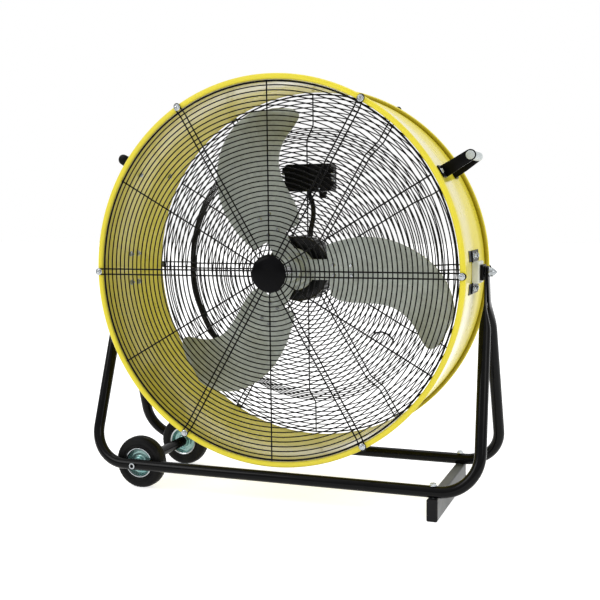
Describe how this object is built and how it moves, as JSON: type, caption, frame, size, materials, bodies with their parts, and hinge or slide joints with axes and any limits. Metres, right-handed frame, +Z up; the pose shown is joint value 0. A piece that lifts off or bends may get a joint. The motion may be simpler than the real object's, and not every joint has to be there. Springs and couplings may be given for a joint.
{
  "type": "drum fan",
  "caption": "Rolling floor drum fan: round steel drum with wire guards, three-blade axial fan and motor, tilting between the legs of a tube stand with wheels and a foot bar.",
  "frame": {"origin": "on the floor, under the middle of the drum, at the bottom centre of the whole object", "axes": "+X to the right seen from the front, along the tilt axis; +Y to the back along the fan axis, the air leaves towards -Y; +Z up"},
  "size_m": [0.9188, 0.3171, 0.922],
  "materials": {
    "yellow_paint": "semi-gloss yellow powder coat",
    "black_paint": "gloss black powder coat",
    "black_wire": "satin black coated wire",
    "galvanised_sheet": "dull galvanised sheet",
    "bright_zinc": "bright zinc plate",
    "hub_zinc": "blue-green passivated zinc",
    "tyre_rubber": "matt black rubber",
    "black_plastic": "black moulded plastic",
    "grey_plastic": "grey moulded plastic",
    "grey_paint": "grey paint",
    "motor_paint": "satin black enamel",
    "core_iron": "stacked sheet iron"
  },
  "bodies": {
    "stand": {"front_u_tube": "black_paint", "rear_u_tube": "black_paint", "foot_bar": "grey_paint", "foot_cap_front": "black_plastic", "foot_cap_rear": "black_plastic", "foot_bolt_front": "bright_zinc", "foot_bolt_rear": "bright_zinc", "axle": "bright_zinc", "axle_nut": "bright_zinc", "axle_spacer": "black_paint"},
    "wheel_front": {"tyre_front": "tyre_rubber", "wheel_rim_front": "hub_zinc", "wheel_bush_front": "black_plastic"},
    "wheel_rear": {"tyre_rear": "tyre_rubber", "wheel_rim_rear": "hub_zinc", "wheel_bush_rear": "black_plastic"},
    "drum": {"drum_shell": "yellow_paint", "front_guard": "black_wire", "guard_badge": "black_plastic", "rear_guard": "black_wire", "guard_bolt_1": "bright_zinc", "guard_bolt_2": "bright_zinc", "guard_bolt_3": "bright_zinc", "guard_bolt_4": "bright_zinc", "guard_bolt_5": "bright_zinc", "guard_bolt_6": "bright_zinc", "handle_plate_front_right": "black_paint", "handle_plate_rear_right": "black_paint", "handle_grip_right": "grey_plastic", "handle_plate_front_left": "black_paint", "handle_plate_rear_left": "black_paint", "handle_grip_left": "grey_plastic", "pivot_bracket_right": "grey_paint", "pivot_spacer_right": "black_plastic", "pivot_bolt_right": "bright_zinc", "pivot_bracket_left": "grey_paint", "pivot_spacer_left": "black_plastic", "pivot_bolt_left": "bright_zinc", "motor_housing": "motor_paint", "motor_front_cover": "motor_paint", "motor_mount_plate": "black_paint", "stator": "core_iron", "bearing_front": "bright_zinc", "bearing_rear": "bright_zinc", "terminal_box": "black_plastic", "terminal_box_lid": "black_plastic", "capacitor": "grey_plastic", "cable_gland": "black_plastic", "motor_conduit": "black_plastic"},
    "fan": {"motor_shaft": "bright_zinc", "rotor": "core_iron", "fan_hub": "galvanised_sheet", "fan_spider": "galvanised_sheet", "blade_1": "galvanised_sheet", "blade_2": "galvanised_sheet", "blade_3": "galvanised_sheet"},
    "knob_right": {"tilt_knob_right": "bright_zinc"},
    "knob_left": {"tilt_knob_left": "bright_zinc"},
    "switch": {"speed_knob": "black_plastic"}
  },
  "joints": [
    {"name": "drum_tilt", "type": "hinge", "parent": "stand", "child": "drum", "pos_m": [0, 0, 0.502], "axis": [1, 0, 0], "range_deg": [-90, 90]},
    {"name": "fan_spin", "type": "hinge", "parent": "drum", "child": "fan", "pos_m": [0, 0, 0.502], "axis": [0, 1, 0], "continuous": true},
    {"name": "wheel_front_spin", "type": "hinge", "parent": "stand", "child": "wheel_front", "pos_m": [-0.338, -0.1105, 0.06], "axis": [0, 1, 0], "continuous": true},
    {"name": "wheel_rear_spin", "type": "hinge", "parent": "stand", "child": "wheel_rear", "pos_m": [-0.338, 0.1105, 0.06], "axis": [0, 1, 0], "continuous": true},
    {"name": "knob_right_turn", "type": "hinge", "parent": "drum", "child": "knob_right", "pos_m": [0.45, 0, 0.502], "axis": [1, 0, 0], "range_deg": [0, 360]},
    {"name": "knob_left_turn", "type": "hinge", "parent": "drum", "child": "knob_left", "pos_m": [-0.45, 0, 0.502], "axis": [-1, 0, 0], "range_deg": [0, 360]},
    {"name": "speed_switch", "type": "hinge", "parent": "drum", "child": "switch", "pos_m": [-0.022, 0.15, 0.711], "axis": [0, -1, 0], "range_deg": [0, 90]}
  ]
}
